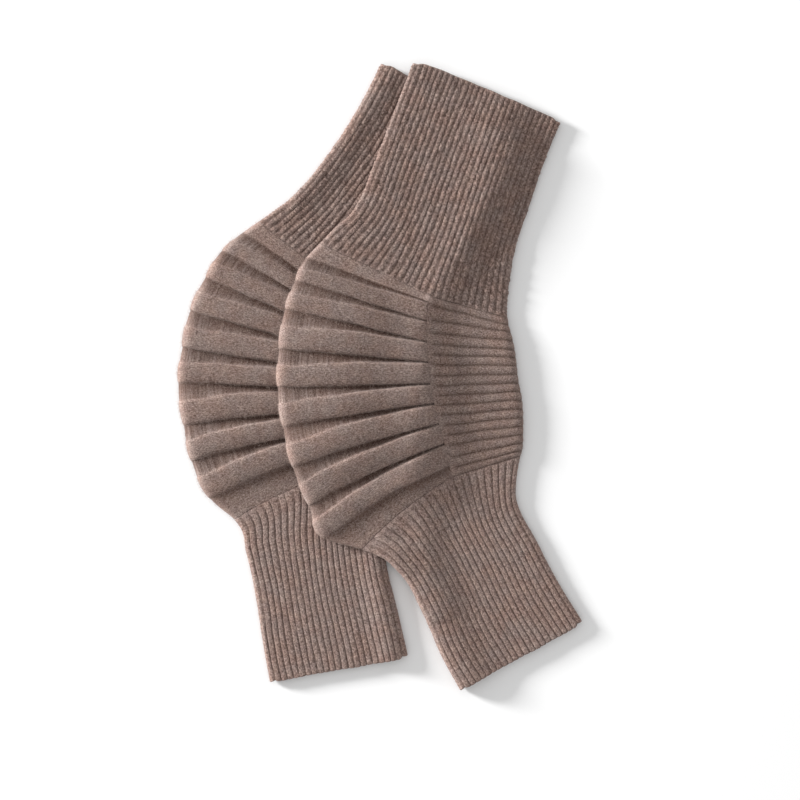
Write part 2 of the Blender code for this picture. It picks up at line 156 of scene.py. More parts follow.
class Leg:
    """One warmer laid flat: where each point of its knitted tube lies, in millimetres."""

    def __init__(self, cuts, rest_height, ridges):
        middles = [np.mean((cut.left, cut.seam, cut.right), axis=0) for cut in cuts]
        steps = np.linalg.norm(np.diff(middles, axis=0), axis=1)
        self.stations = np.concatenate(([0.0], np.cumsum(steps)))
        self.values = np.array([(*cut.left, *cut.seam, *cut.right, cut.bow, cut.thick)
                                for cut in cuts])
        self.slopes = np.gradient(self.values, self.stations, axis=0)
        self.rest_height = rest_height
        self.ridges = ridges

    def cut(self, station):
        row = np.clip(np.searchsorted(self.stations, station) - 1, 0, len(self.stations) - 2)
        length = self.stations[row + 1] - self.stations[row]
        t = ((station - self.stations[row]) / length)[:, None]
        length = length[:, None]
        values = self.values[row] * (2 * t ** 3 - 3 * t ** 2 + 1)
        values = values + self.slopes[row] * length * (t ** 3 - 2 * t ** 2 + t)
        values = values + self.values[row + 1] * (3 * t ** 2 - 2 * t ** 3)
        values = values + self.slopes[row + 1] * length * (t ** 3 - t ** 2)
        return Cut(values[:, 0:2], values[:, 2:4], values[:, 4:6], values[:, 6], values[:, 7])

    def widths(self, station):
        cut = self.cut(station)
        front = np.linalg.norm(cut.seam - cut.left, axis=1)
        back = np.linalg.norm(cut.right - cut.seam, axis=1)
        return front, back

    def plan(self, station, distance):
        cut = self.cut(station)
        front, back = self.widths(station)
        ahead = (cut.seam - cut.left) / front[:, None]
        behind = (cut.right - cut.seam) / back[:, None]
        share = np.clip(distance / front, 0.0, 1.0)
        lift = cut.bow * 4 * share * (1 - share)
        before = cut.left + ahead * distance[:, None]
        before = before + np.stack((-ahead[:, 1], ahead[:, 0]), axis=1) * lift[:, None]
        after = cut.seam + behind * (distance - front)[:, None]
        return np.where((distance > front)[:, None], after, before)

    def thickness(self, station, distance):
        front, back = self.widths(station)
        crown = np.sin(math.pi * np.clip(distance / (front + back), 0.0, 1.0))
        return self.cut(station).thick * (1 - CROWN + CROWN * crown)

    def eased(self, plan):
        """How far the cloth stands up in the soft folds of its upper layer."""
        height = np.zeros(len(plan))
        for ridge in self.ridges:
            start = np.array((ridge.x0, ridge.y0))
            along = np.array((ridge.x1, ridge.y1)) - start
            share = np.clip((plan - start) @ along / (along @ along), 0.0, 1.0)
            away = np.linalg.norm(plan - start - share[:, None] * along, axis=1)
            height = np.maximum(height, ridge.height * bell(away / ridge.width))
        return height

    def surface(self, station, turn, raised, sunk):
        """Points of the tube. turn runs 0 to 1 round the front fold, 1 to 3 over the upper layer
        with the side seam at 2, 3 to 4 round the back fold and 4 to 6 along the underside. raised
        lifts the upper layer off the tube, and sunk moves a point into the wall."""
        turn = turn % 6
        front, back = self.widths(station)
        depth = FOLD_ASPECT * self.cut(station).thick
        share = np.clip(np.where(turn < 3.5, turn - 1, 6 - turn), 0.0, 2.0)
        before = depth + share * (front - depth)
        after = front + (share - 1) * (back - depth)
        flat = np.where(share <= 1, before, after)
        angle = math.pi * (np.clip(np.where(turn < 2, turn, 4 - turn), 0.0, 1.0) - 0.5)
        rise = np.sin(angle)
        fold_height = self.thickness(station, depth)
        middle = FOLD_MIDDLE * fold_height
        swell = raised * np.maximum((rise + FOLD_SWELL) / (1 + FOLD_SWELL), 0.0)
        reach = np.where(rise > 0, fold_height - middle - sunk + swell, middle - sunk)
        rounded = depth - (depth - sunk + swell) * np.cos(angle)
        rounded = np.where(turn < 2, rounded, front + back - rounded)
        on_fold = (turn < 1) | ((turn > 3) & (turn < 4))
        distance = np.where(on_fold, rounded, flat)
        plan = self.plan(station, distance)
        top = self.thickness(station, distance) + raised - sunk
        z = np.where(on_fold, middle + reach * rise, np.where(turn < 3.5, top, sunk))
        z = z + self.eased(plan) * np.where(on_fold, np.maximum(rise, 0.0), turn < 3.5)
        z = z + self.rest_height(plan[:, 0], plan[:, 1])
        return np.stack((plan[:, 0] - PAIR_CENTRE[0], plan[:, 1] - PAIR_CENTRE[1], z), axis=1)


def upper_cuts():
    cuts = []
    for section in SECTIONS:
        left = (section.left_x, section.left_y)
        seam = (section.seam_x, section.seam_y)
        right = (section.right_x, section.right_y)
        cuts.append(Cut(left, seam, right, section.bow, section.thick))
    return cuts


def lower_cuts():
    cuts = []
    for cut, place in zip(upper_cuts(), LOWER_PLACES):
        angle = math.radians(-place.degrees)
        turn = np.array(((math.cos(angle), -math.sin(angle)), (math.sin(angle), math.cos(angle))))
        seam = (place.seam_x, place.seam_y)
        right = turn @ np.subtract(cut.right, cut.seam) + seam
        cuts.append(Cut((place.left_x, place.left_y), seam, right, cut.bow, cut.thick))
    return cuts


def draped_over(leg, spacing=3.0, grid_step=4.0):
    """Height of cloth lying on a leg. It stays level a little past what carries it, then sinks."""
    carried = []
    for at in np.arange(0.0, leg.stations[-1], spacing):
        station = np.array([at])
        front, back = leg.widths(station)
        depth = FOLD_ASPECT * leg.cut(station).thick[0]
        distance = np.arange(depth / 2, front[0] + back[0] - depth / 2, spacing)
        station = np.full(len(distance), at)
        from_pleats = min(at - leg.stations[FIRST_PLEAT], leg.stations[LAST_PLEAT + 1] - at)
        relief = PLEAT_HEIGHT * smooth_step((from_pleats + PLEAT_LEAD) / PLEAT_RISE)
        falls = 1 - smooth_step((distance - front[0]) / PLEAT_FALL)
        relief = 1.0 + max(relief - 1.0, 0.0) * falls
        top = leg.thickness(station, distance) + relief + LIFT
        carried.append(np.column_stack((leg.plan(station, distance), top)))
    carried = np.concatenate(carried)
    xs = np.arange(-180.0, 184.0, grid_step)
    ys = np.arange(-260.0, 264.0, grid_step)
    heights = np.zeros((len(xs), len(ys)))
    for i, x in enumerate(xs):
        near = carried[np.abs(carried[:, 0] - x) < DRAPE_REACH + DRAPE_RUN * carried[:, 2]]
        if len(near):
            away = np.hypot(near[:, 0] - x, near[:, 1] - ys[:, None]) - DRAPE_REACH
            left = 1 - smooth_step(away / (DRAPE_RUN * near[:, 2]))
            heights[i] = np.max(near[:, 2] * left, axis=1)

    def rest_height(x, y):
        i = np.clip((x - xs[0]) / grid_step, 0, len(xs) - 1.001)
        j = np.clip((y - ys[0]) / grid_step, 0, len(ys) - 1.001)
        i0, j0 = i.astype(int), j.astype(int)
        s, t = i - i0, j - j0
        low = heights[i0, j0] * (1 - s) + heights[i0 + 1, j0] * s
        high = heights[i0, j0 + 1] * (1 - s) + heights[i0 + 1, j0 + 1] * s
        return low * (1 - t) + high * t

    return rest_height


lower_leg = Leg(lower_cuts(), lambda x, y: 0.0 * x, LOWER_RIDGES)
upper_leg = Leg(upper_cuts(), draped_over(lower_leg), UPPER_RIDGES)
LEGS = (("under", lower_leg), ("over", upper_leg))


def linear(hex_colour):
    """sRGB hex to linear RGB."""
    values = [int(hex_colour[i:i + 2], 16) / 255 for i in (1, 3, 5)]
    return [v / 12.92 if v <= 0.04045 else ((v + 0.055) / 1.055) ** 2.4 for v in values]


def add(tree, kind, links=None, **settings):
    """Adds a node. Settings name its properties, links its sockets with a value or an output."""
    made = tree.nodes.new(kind)
    for name, value in settings.items():
        setattr(made, name, value)
    for name, value in (links or {}).items():
        if isinstance(value, bpy.types.NodeSocket):
            tree.links.new(value, made.inputs[name])
        else:
            made.inputs[name].default_value = value
    return made


def wool(name, dark, middle, light, recess_shade, sheen, along, across):
    """Heathered wool: light and dark fibres are spun into one yarn, so each stitch is a little
    lighter or darker than the next, and a grey or a pink one shows here and there. The fibres are
    0.03 mm thick and are drawn some fifteen times coarser to show. Their ends scatter light like
    a fine pile. Painted shade darkens grooves and hollows towards a dark colour, and painted
    highlights lighten edges and folds that face the light."""
    material = bpy.data.materials.new(name)
    material.use_nodes = True
    tree = material.node_tree
    shader = tree.nodes["Principled BSDF"]
    place = add(tree, "ShaderNodeTexCoord").outputs["Object"]
    stitches = add(tree, "ShaderNodeUVMap", uv_map="stitches").outputs["UV"]
    yarn = add(tree, "ShaderNodeMapping", {"Vector": stitches, "Scale": (across, along, 1.0)})
    streaks = add(tree, "ShaderNodeTexNoise", {"Vector": yarn.outputs["Vector"], "Scale": 1.0,
                                               "Detail": 3.0, "Roughness": 0.7})
    fibres = add(tree, "ShaderNodeTexNoise", {"Vector": place, "Scale": 1100.0, "Detail": 3.0,
                                              "Roughness": 0.7})
    both = add(tree, "ShaderNodeMath", {0: streaks.outputs["Fac"], 1: fibres.outputs["Fac"]},
               operation="ADD")
    mean = add(tree, "ShaderNodeMath", {0: both.outputs["Value"], 1: 0.5}, operation="MULTIPLY")
    ramp = add(tree, "ShaderNodeValToRGB", {"Fac": mean.outputs["Value"]})
    ramp.color_ramp.elements[0].position = 0.41
    ramp.color_ramp.elements[0].color = (*linear(dark), 1)
    ramp.color_ramp.elements[1].position = 0.59
    ramp.color_ramp.elements[1].color = (*linear(light), 1)
    centre = ramp.color_ramp.elements.new(0.5)
    centre.color = (*linear(middle), 1)
    clouds = add(tree, "ShaderNodeTexNoise", {"Vector": place, "Scale": 160.0, "Detail": 3.0})
    shade = add(tree, "ShaderNodeMapRange", {"Value": clouds.outputs["Fac"], "From Min": 0.3,
                                             "From Max": 0.7, "To Min": 0.88, "To Max": 1.12})
    lots = add(tree, "ShaderNodeTexNoise", {"Vector": place, "Scale": 70.0, "Detail": 2.0})
    tint = add(tree, "ShaderNodeMapRange", {"Value": lots.outputs["Fac"], "From Min": 0.35,
                                            "From Max": 0.65, "To Min": 0.88, "To Max": 1.1})
    hue = add(tree, "ShaderNodeMapRange", {"Value": clouds.outputs["Fac"], "From Min": 0.3,
                                           "From Max": 0.7, "To Min": 0.494, "To Max": 0.504})
    # the stitches' own shades, with painted light and shade added to them
    tone_and_painted_light = add(tree, "ShaderNodeAttribute", attribute_name="tone_and_painted_light")
    value = add(tree, "ShaderNodeMath", {0: shade.outputs["Result"], 1: tone_and_painted_light.outputs["Fac"]},
                operation="ADD")
    mottled = add(tree, "ShaderNodeHueSaturation", {"Color": ramp.outputs["Color"],
                                                    "Hue": hue.outputs["Result"],
                                                    "Value": value.outputs["Value"],
                                                    "Saturation": tint.outputs["Result"]})
    # painted shade: grooves and hollows are darkened towards a dark colour
    deep = add(tree, "ShaderNodeAttribute", attribute_name="recess_shade")
    darker = add(tree, "ShaderNodeMixRGB", {"Fac": deep.outputs["Fac"],
                                            "Color1": mottled.outputs["Color"],
                                            "Color2": (*linear(recess_shade), 1)})
    bump = add(tree, "ShaderNodeBump", {"Height": both.outputs["Value"], "Strength": 0.7,
                                        "Distance": 0.0005})
    tree.links.new(darker.outputs["Color"], shader.inputs["Base Color"])
    tree.links.new(bump.outputs["Normal"], shader.inputs["Normal"])
    shader.inputs["Roughness"].default_value = 0.95
    shader.inputs["Specular IOR Level"].default_value = 0.1
    shader.inputs["Sheen Weight"].default_value = sheen
    shader.inputs["Sheen Roughness"].default_value = 0.5
    shader.inputs["Sheen Tint"].default_value = (*linear("#E9DAD2"), 1)
    return material


def knit(name, columns, rows, place, material):
    """Knits a piece in one closed wall. The rows run along its outside and back along its inside,
    and place gives each stitch its point, how much painted shade darkens it where it lies deep
    between its neighbours, and how light it is: its own shade with painted light and shade."""
    bm = bmesh.new()
    bmesh.ops.create_grid(bm, x_segments=len(columns) - 1, y_segments=len(rows) - 1, size=1)
    mesh = bpy.data.meshes.new(name)
    bm.to_mesh(mesh)
    bm.free()
    grid = np.zeros(len(mesh.vertices) * 3)
    mesh.vertices.foreach_get("co", grid)
    grid = grid.reshape(-1, 3)
    column = columns[np.rint((grid[:, 0] + 1) / 2 * (len(columns) - 1)).astype(int)]
    row = rows[np.rint((grid[:, 1] + 1) / 2 * (len(rows) - 1)).astype(int)]
    points, depth, tone_and_painted_light = place(column, row)
    mesh.vertices.foreach_set("co", (points * MM).ravel())
    # the first layer is painted shade, the second the stitches' own shades with painted light and
    # shade
    for layer, values in (("recess_shade", depth), ("tone_and_painted_light", tone_and_painted_light), ("outside", row.outer)):
        mesh.attributes.new(layer, "FLOAT", "POINT").data.foreach_set("value", values)
    corners = np.zeros(len(mesh.loops), dtype=int)
    mesh.loops.foreach_get("vertex_index", corners)
    stitches = np.stack((column.width[corners], row.length[corners]), axis=1)
    mesh.uv_layers.new(name="stitches").uv.foreach_set("vector", stitches.ravel())
    bm = bmesh.new()
    bm.from_mesh(mesh)
    crease = bm.edges.layers.float.new("crease_edge")
    bmesh.ops.remove_doubles(bm, verts=bm.verts[:], dist=1e-7)
    edges = [edge for edge in bm.edges if edge.is_boundary]
    if edges:
        for edge in edges:
            edge[crease] = 1.0
        ends = bmesh.ops.holes_fill(bm, edges=edges, sides=0)["faces"]
        bmesh.ops.triangulate(bm, faces=ends)
    bmesh.ops.recalc_face_normals(bm, faces=bm.faces[:])
    bm.to_mesh(mesh)
    bm.free()
    mesh.shade_smooth()
    mesh.set_sharp_from_angle(angle=math.radians(75))
    mesh.materials.append(material)
    piece = bpy.data.objects.new(name, mesh)
    bpy.context.collection.objects.link(piece)
    return piece


def record(names, values):
    """A table with one row for each of the values and a named column for each of their fields."""
    return np.rec.fromrecords([tuple(float(v) for v in value) for value in values], names=names)


def rib_columns(ribs, pitch):
    """Points round a ribbed tube: six to a rib where it shows, and two on the underside."""
    seam_rib = SEAM_SHARE * ribs
    top = [1 + k / seam_rib if k <= seam_rib else 2 + (k - seam_rib) / (ribs - seam_rib)
           for k in range(ribs)]
    starts = [0.0, 0.5, *top, 3.0, 3.5, *(4 + 2 * k / ribs for k in range(ribs)), 6.0]
    columns = []
    for rib in range(len(starts) - 1):
        for phase in (0.0, 0.14, 0.32, 0.5, 0.68, 0.86) if rib < ribs + 4 else (0.0, 0.5):
            turn = starts[rib] + phase * (starts[rib + 1] - starts[rib])
            columns.append((turn, phase, rib, (rib + phase) * pitch))
    columns.append((6.0, 0.0, 0, (len(starts) - 1) * pitch))
    return record("turn,phase,rib,width", columns)


def cuff_rows(start, end, step, seam):
    """Rows along the outside of a cuff, round its lip and back along its inside. The lip is round
    at the hem and square at the seam, where the next piece goes on."""
    hem_lip = ((0.0, 1.1, 0.5), (0.25, 0.45, 0.8), (0.8, 0.08, 1.0))
    seam_lip = ((0.0, 1.1, 0.5), (0.02, 0.0, 1.0), (0.3, 0.0, 1.0))
    first, last = (seam_lip, hem_lip) if seam == start else (hem_lip, seam_lip)
    outer = [(start + out, sunk, side) for out, sunk, side in first]
    outer += [(s, 0.0, 1.0) for s in np.arange(start + 1.3, end - 1.0, step)]
    outer += [(end - out, sunk, side) for out, sunk, side in reversed(last)]
    inner = [(s, WALL, 0.0) for s in np.linspace(end - 1.5, start + 1.5, 12)]
    rows = [*outer, (end - 0.3, 1.8, 0.2), *inner, (start + 0.3, 1.8, 0.2), (start, 1.1, 0.5)]
    return record("station,sunk,outer,length", [(*row, row[0]) for row in rows])


CHEVRON = 0.35         # how far a stitch leans, as a share of its length
LOFT_NOISE = 2.4       # how much a stitch's height varies, for each unit that its shade does
HEM_REACH = 8.0        # how far up from the hem its waves and its teeth are felt
CORNER = 5.0           # how far along the hem a corner is drawn in
CORNER_DEPTH = 1.7
TURN_LENGTH = 55.0     # millimetres to one unit of turn on a flat layer
UNDER_HEM = 1.3        # how far the lower layer stays behind the upper one at the hem
# how much painted shade darkens the grooves between the ribs
GROOVE_SHADE = 0.6
CUFF_RIM_HIGHLIGHT = 0.175  # painted highlight on the front fold, where its fuzz stands against the light
RIM_TURN = 0.72
RIM_SPREAD = 0.22


def cuff_place(leg, seed, hem, seam, seam_fade, teeth, bound, ridge_width, rib_depth,
               stitch_length, stitch_depth, uneven):
    """Rib stitches. Each is a bead that leans to both sides of its rib, and none is quite like the
    next. The ribs fade at the seam, and at the hem too where it is bound off. The corners of
    the hem are drawn in, and its lower layer stays hidden under the upper one."""
    chance = np.random.default_rng(seed)
    loft = chance.normal(0.0, LOFT_NOISE * uneven, (80, 90))
    shades = chance.normal(0.0, uneven, (80, 90))
    drift = chance.uniform(0.0, 2 * math.pi, (2, 80))

    def place(column, row):
        rib = column.rib.astype(int)
        side = np.abs(2 * column.phase - 1)
        ridge = 1 - side ** ridge_width
        stitch = row.station / stitch_length + CHEVRON * side
        bead = 1 - np.abs(2 * (stitch % 1) - 1) ** 1.5
        which = stitch.astype(int) % 90
        full = round_end(np.abs(row.station - seam) / seam_fade)
        from_hem = np.abs(row.station - hem)
        if bound:
            full = full * smooth_step((from_hem + 0.6) / 3.0)
        low = rib_depth * (1 - ridge) + ridge * (stitch_depth * (1 - bead) + loft[rib, which])
        sunk = row.sunk + row.outer * low * full
        towards = 1.0 if hem > seam else -1.0
        turn = column.turn % 6
        from_front = np.minimum(np.abs(turn - 0.5), np.abs(turn - 6.5))
        from_fold = np.minimum(from_front, np.abs(turn - 3.5)) - 0.5
        corner = np.clip(1 - np.maximum(from_fold, 0) * TURN_LENGTH / CORNER, 0, 1) ** 2
        beneath = smooth_step(np.minimum(turn - 3.6, 6.4 - turn) * 4) * (turn > 3.4) + (turn < 0.4)
        wave = 0.3 * np.sin(column.rib * 0.4 + drift[0, 0])
        wave = wave + 0.12 * np.sin(column.rib * 1.3 + drift[1, 0])
        out = (teeth * row.outer * ridge + wave) * (1 - beneath)
        out = out - CORNER_DEPTH * corner - UNDER_HEM * beneath
        station = row.station + towards * smooth_step(1 - from_hem / HEM_REACH) * out
        turn = column.turn + 0.005 * np.sin(station / 11 + drift[0, rib])
        turn = turn + 0.002 * np.sin(station / 4 + drift[1, rib])
        turn = np.where(column.turn % 6 == 0, column.turn, turn)
        raised = row.outer * CUFF_RIB_HEIGHT * (0.25 + 0.75 * full)
        points = leg.surface(station, turn, raised, sunk)
        # painted highlight along the front fold
        rim = CUFF_RIM_HIGHLIGHT * bell((turn - RIM_TURN) / RIM_SPREAD)
        # the stitch's own shade, with a painted highlight on each bead's top and painted shade
        # between beads, and a little paler where the ribs fade
        tone_and_painted_light = shades[rib, which] + 0.12 * (bead - 0.5) + 0.02 * (1 - full) + rim
        # painted shade: the grooves between the ribs are darkened
        groove = np.clip(GROOVE_SHADE * (1 - ridge) * full * (0.95 + loft[rib, which]), 0, 1)
        return points, groove * row.outer, tone_and_painted_light * row.outer

    return place


FIBRE_WIDTH = 0.09   # real ones are 0.03
FIBRE_ROOT = 0.1     # how deep a fibre starts in the knit


def nap(piece, name, per_square_mm, length, seed, material):
    """Loose fibre ends that the yarn or the brush leaves standing: bent slivers of the wool,
    spread over all of the piece that shows and leaning every way. They are three times as thick
    as real ones, so that they show, and a third as many. None reaches into the floor."""
    mesh = piece.data
    mesh.calc_loop_triangles()
    triangles = np.zeros(len(mesh.loop_triangles) * 3, dtype=int)
    mesh.loop_triangles.foreach_get("vertices", triangles)
    triangles = triangles.reshape(-1, 3)
    points = np.zeros(len(mesh.vertices) * 3)
    mesh.vertices.foreach_get("co", points)
    corners = points.reshape(-1, 3)[triangles] / MM
    outside = np.zeros(len(mesh.vertices))
    mesh.attributes["outside"].data.foreach_get("value", outside)
    normals = np.cross(corners[:, 1] - corners[:, 0], corners[:, 2] - corners[:, 0])
    twice = np.linalg.norm(normals, axis=1)
    normals = normals / np.maximum(twice, 1e-9)[:, None]
    shows = twice / 2 * (outside[triangles].min(axis=1) > 0.9) * (normals[:, 2] > -0.2)
    chance = np.random.default_rng(seed)
    count = int(shows.sum() * per_square_mm)
    face = chance.choice(len(shows), count, p=shows / shows.sum())
    share = chance.dirichlet((1.0, 1.0, 1.0), count)
    roots = (corners[face] * share[:, :, None]).sum(axis=1) - FIBRE_ROOT * normals[face]
    rises = chance.uniform(0.15, 0.9, count)[:, None] * normals[face]
    leans = chance.normal(0.0, 0.5, (count, 3))
    leans = leans - (leans * normals[face]).sum(axis=1)[:, None] * normals[face]
    bends = chance.normal(0.0, 0.35, (count, 3))
    lengths = (length * chance.uniform(0.4, 1.0, count) ** 1.5)[:, None]
    middles = roots + 0.55 * lengths * (rises + leans)
    tips = roots + lengths * (0.8 * rises + leans + bends)
    sides = np.cross(tips - roots, chance.normal(0.0, 1.0, (count, 3)))
    sides = sides / np.linalg.norm(sides, axis=1)[:, None] * FIBRE_WIDTH / 2
    rings = np.stack((roots - sides, roots + sides, middles + 0.8 * sides,
                      middles - 0.8 * sides, tips), axis=1)
    rings[:, :, 2] = np.maximum(rings[:, :, 2], 0.0)
    first = 5 * np.arange(count)[:, None]
    quads = (first + (0, 1, 2, 3)).tolist()
    ends = (first + (3, 2, 4)).tolist()
    fibres = bpy.data.meshes.new(name)
    fibres.from_pydata((rings.reshape(-1, 3) * MM).tolist(), [], quads + ends)
    fibres.materials.append(material)
    made = bpy.data.objects.new(name, fibres)
    bpy.context.collection.objects.link(made)
    return made


def fibre_wool(name, colour):
    """Single wool fibres. They are thin and have no gloss, so a fold that stands against the light
    has a soft pale rim."""
    material = bpy.data.materials.new(name)
    material.use_nodes = True
    shader = material.node_tree.nodes["Principled BSDF"]
    shader.inputs["Base Color"].default_value = (*linear(colour), 1)
    shader.inputs["Roughness"].default_value = 1.0
    shader.inputs["Specular IOR Level"].default_value = 0.0
    return material


def dress(piece, fuzz, node):
    """Puts a piece and its nap in a node's place: both hang from the root body, and the node's own
    part is hidden.
    """
    for each in (piece, fuzz):
        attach(each, "root")
        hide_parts(node)


loose_wool = fibre_wool("loose_wool_fibre", "#A8968D")
thigh_rib = wool("thigh_rib_wool", dark="#594842", middle="#806D65", light="#A08B83",
                 recess_shade="#45332C", sheen=0.2, along=0.5, across=1.1)
THIGH_STITCH = 2.7
for name, leg in LEGS:
    thigh_end = leg.stations[THIGH_SEAM] - SEAM_GAP / 2
    rows = cuff_rows(0.0, thigh_end, THIGH_STITCH / 4, thigh_end)
    place = cuff_place(leg, seed=11, hem=0.0, seam=thigh_end, seam_fade=3.0, teeth=0.0,
                       bound=True, ridge_width=2.2, rib_depth=1.0, stitch_length=THIGH_STITCH,
                       stitch_depth=0.75, uneven=0.08)
    columns = rib_columns(ribs=27, pitch=4.1)
    piece = knit(f"{name}_thigh_cuff_knit", columns, rows, place, thigh_rib)
    fuzz = nap(piece, f"{name}_thigh_cuff_nap", per_square_mm=0.6, length=2.2, seed=31,
               material=loose_wool)
    dress(piece, fuzz, node=f"{name}_thigh_cuff")

# Knee cups. The front of the knee is knitted in eight welts: rolls of brushed plain knit about
# 15 mm wide, which fan out from the side seam round the front fold with the ground between them.
# The surface is raised with a brush, so the stitches blur and a fuzz of loose fibres stands on it.
# The upper edge of each roll and the front fold are painted paler, as painted highlights.

# One pleat across, from the ground above it to its lower edge: the share of the ground and of the
# roll passed so far, and the height there where its edges are sharp and where they are soft.
PleatPoint = namedtuple("PleatPoint", "floor roll sharp soft")
PLEAT = (
    PleatPoint(0.00, 0.00, -0.12, -0.02),
    PleatPoint(0.15, 0.00, -0.08,  0.03),
    PleatPoint(0.50, 0.00,  0.06,  0.16),
    PleatPoint(0.90, 0.00,  0.24,  0.34),
    PleatPoint(1.00, 0.00,  0.34,  0.44),
    PleatPoint(1.00, 0.03,  0.62,  0.60),
    PleatPoint(1.00, 0.07,  0.80,  0.71),
    PleatPoint(1.00, 0.14,  0.91,  0.81),
    PleatPoint(1.00, 0.26,  0.98,  0.90),
    PleatPoint(1.00, 0.42,  1.00,  0.92),
    PleatPoint(1.00, 0.58,  0.97,  0.88),
    PleatPoint(1.00, 0.74,  0.89,  0.77),
    PleatPoint(1.00, 0.87,  0.76,  0.59),
    PleatPoint(1.00, 0.95,  0.56,  0.38),
    PleatPoint(1.00, 0.99,  0.24,  0.14),
)
FLOOR_AT_FOLD = 0.40   # share of a pleat's pitch that is ground, at the front fold
FLOOR_AT_SEAM = 0.04   # and at the side seam
PLEAT_END = 7.0        # how soon a pleat dies out at the side seam
PLEAT_AT_FOLD = 0.72   # share of its height that a pleat has at the front fold
PLEAT_FULL = 0.3       # how far across the front it has all of its height
PLEAT_SHARP = 0.6      # how far across its edges are at their sharpest
SEAM_HEIGHT = 1.6      # how high the cloth stands on both sides of the side seam
SEAM_MARGIN = 6.0      # how far from it the plain margins come down
EDGE_HIGHLIGHT = 0.22       # painted highlight on the upper edge of each pleat, where it catches the light
CUP_RIM_HIGHLIGHT = 0.56    # and on the front fold
PLAIN_MARGIN_LIGHT = 0.12      # painted light on the margin above the pleats
MARGIN_SHADE = 0.65    # painted shade on the ground below the last pleat


def cup_rows(leg):
    stations = leg.stations
    start = stations[THIGH_SEAM] + SEAM_GAP / 2
    end = stations[CALF_SEAM] - SEAM_GAP / 2
    plain = (0, 0, 0, 0, 0, 0)
    rows = [(start, *plain, 1.1, 0.5), (start + 0.02, *plain, 0, 1), (start + 0.4, *plain, 0, 1)]
    rows += [(s, *plain, 0, 1) for s in np.linspace(start + 2.5, stations[FIRST_PLEAT] - 1.0, 4)]
    for k in range(FIRST_PLEAT, LAST_PLEAT + 1):
        pitch = stations[k + 1] - stations[k]
        size = PLEAT_HEIGHT * SECTIONS[k].pleat
        rows += [(stations[k], pitch, size, *point, 0, 1) for point in PLEAT]
    rows += [(s, *plain, 0, 1) for s in np.linspace(stations[LAST_PLEAT + 1], end - 0.4, 7)]
    rows += [(end - 0.02, *plain, 0, 1), (end, *plain, 1.1, 0.5), (end - 0.4, *plain, 1.9, 0.1)]
    rows += [(s, *plain, WALL, 0) for s in np.linspace(end - 1.5, start + 1.5, 18)]
    rows += [(start + 0.4, *plain, 1.9, 0.1), (start, *plain, 1.1, 0.5)]
    return record("station,pitch,grows,floor,roll,sharp,soft,sunk,outer,length",
                  [(*row, row[0] + row[1] * row[4]) for row in rows])


def cup_columns():
    turns = [*np.linspace(5.0004, 6.0, 6, endpoint=False),
             *np.linspace(6.0, 7.0, 8, endpoint=False),
             *np.linspace(7.0, 7.9, 36, endpoint=False), *np.linspace(7.9, 7.995, 11), 7.9996]
    return record("turn,width", [(turn, 100 * (turn - 5)) for turn in turns])


def cup_place(leg, seed):
    chance = np.random.default_rng(seed)
    phases = chance.uniform(0, 2 * math.pi, (4, 40))

    def place(column, row):
        across = np.clip(column.turn - 7, 0.0, 1.0)
        floor = FLOOR_AT_FOLD + (FLOOR_AT_SEAM - FLOOR_AT_FOLD) * across ** 0.9
        pleat = np.searchsorted(leg.stations, row.station + 0.01)
        wave = np.sin(9 * across + phases[0, pleat]) + 0.6 * np.sin(21 * across + phases[1, pleat])
        station = row.station + row.pitch * (row.floor * floor + row.roll * (1 - floor))
        station = station + np.where(row.pitch > 0, 0.45 * wave * (1 - across), 0)
        front = leg.widths(station)[0]
        from_seam = (1 - across) * (front - 6)
        filled = PLEAT_AT_FOLD + (1 - PLEAT_AT_FOLD) * smooth_step(across / PLEAT_FULL)
        sharpness = smooth_step(across / PLEAT_SHARP)
        height = row.soft + (row.sharp - row.soft) * sharpness
        loft = 1 + 0.06 * np.sin(7 * across + phases[2, pleat])
        grown = (row.grows * filled * loft - SEAM_HEIGHT) * round_end(from_seam / PLEAT_END)
        flush = SEAM_HEIGHT * row.outer * smooth_step(1 - from_seam / SEAM_MARGIN)
        raised = np.where(row.pitch > 0, height * (SEAM_HEIGHT + grown), flush)
        points = leg.surface(station, column.turn, raised, row.sunk)
        past = row.station - leg.stations[LAST_PLEAT + 1]
        margin = (past >= 0) * bell((past - 1.5) / 5)
        # painted shade: the ground between the rolls is darkened where it lies low, and the ground
        # just below the last pleat
        deep = np.where(row.pitch > 0, np.clip(1 - height / 0.55, 0, 1), MARGIN_SHADE * margin)
        deep = deep * row.outer
        streak = np.sin(17 * across + phases[3, pleat]) * np.sin(row.roll * 23 + phases[0, pleat])
        # painted highlights on the front fold and the upper edge of each roll, and painted light
        # on the plain margin above the pleats; the streaks are the yarn's own shades
        rim = CUP_RIM_HIGHLIGHT * bell((column.turn - 6 - RIM_TURN) / RIM_SPREAD)
        edge = EDGE_HIGHLIGHT * bell((row.roll - 0.05) / 0.035) * (row.floor == 1)
        tone_and_painted_light = 0.05 * streak + rim + edge + PLAIN_MARGIN_LIGHT * ((row.pitch == 0) & (past < 0))
        return points, deep * (0.6 + 0.35 * sharpness), tone_and_painted_light * row.outer

    return place


pleated = wool("pleated_wool", dark="#5A4A43", middle="#7E6B63", light="#A08E87",
               recess_shade="#3F2A22", sheen=0.3, along=1.3, across=0.45)
for name, leg in LEGS:
    place = cup_place(leg, seed=5)
    piece = knit(f"{name}_knee_cup_knit", cup_columns(), cup_rows(leg), place, pleated)
    smooth = piece.modifiers.new("rounded", "SUBSURF")
    smooth.levels = 1
    smooth.render_levels = 1
    fuzz = nap(piece, f"{name}_knee_cup_nap", per_square_mm=1.25, length=3.6, seed=37,
               material=loose_wool)
    dress(piece, fuzz, node=f"{name}_knee_cup")

